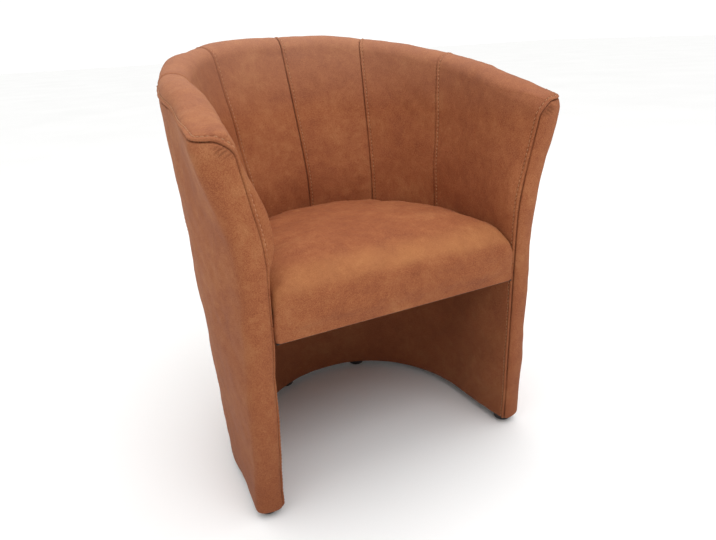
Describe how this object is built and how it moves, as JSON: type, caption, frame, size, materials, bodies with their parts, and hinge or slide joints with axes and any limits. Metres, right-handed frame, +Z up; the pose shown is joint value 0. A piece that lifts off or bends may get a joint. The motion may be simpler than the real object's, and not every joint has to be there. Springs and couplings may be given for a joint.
{
  "type": "tub chair",
  "caption": "Upholstered tub chair: flared wraparound back and arms with channel seams, a fixed domed seat with open space beneath, and small round glides.",
  "frame": {"origin": "on the floor under the middle of the shell, at the centre of the chair's footprint box", "axes": "+Z up, the front of the seat faces -Y, +X to the right as seen from the front"},
  "size_m": [0.6226, 0.558, 0.7718],
  "materials": {
    "cover": "brushed, nubuck-like, mottled cognac brown",
    "plywood": "raw birch plywood",
    "timber": "planed softwood, raw",
    "foam": "open-cell foam and wadding",
    "webbing": "woven elastic strap",
    "dust_cloth": "black spun cloth",
    "steel": "zinc-plated",
    "glide": "black moulded nylon"
  },
  "bodies": {
    "root": {"base_rail": "plywood", "middle_rail": "plywood", "rim_rail_back": "timber", "rim_rail_left": "timber", "rim_rail_right": "timber", "front_post_left": "timber", "front_post_right": "timber", "low_rib_back_left": "timber", "low_rib_back_right": "timber", "low_rib_side_left": "timber", "low_rib_side_right": "timber", "high_rib_back_left": "timber", "high_rib_back_right": "timber", "high_rib_side_left": "timber", "high_rib_side_right": "timber", "inner_board": "plywood", "outer_board": "plywood", "inner_padding": "foam", "rim_roll": "foam", "back_channel_1": "cover", "back_channel_2": "cover", "back_channel_3": "cover", "back_channel_4": "cover", "arm_cover_left": "cover", "arm_cover_right": "cover", "outer_cover_left": "cover", "outer_cover_right": "cover", "outer_cover_back": "cover", "lower_lining": "cover", "seat_front_rail": "timber", "seat_rear_rail": "timber", "seat_side_rail_left": "timber", "seat_side_rail_right": "timber", "seat_corner_block_left": "timber", "seat_corner_block_right": "timber", "webbing_long": "webbing", "webbing_cross": "webbing", "seat_foam": "foam", "seat_cover": "cover", "seat_liner": "dust_cloth", "seat_bolts": "steel", "rail_screws": "steel", "base_strip": "dust_cloth", "glide_front_left": "glide", "glide_front_right": "glide", "glide_rear_left": "glide", "glide_rear_right": "glide", "glide_nails": "steel"}
  },
  "joints": []
}
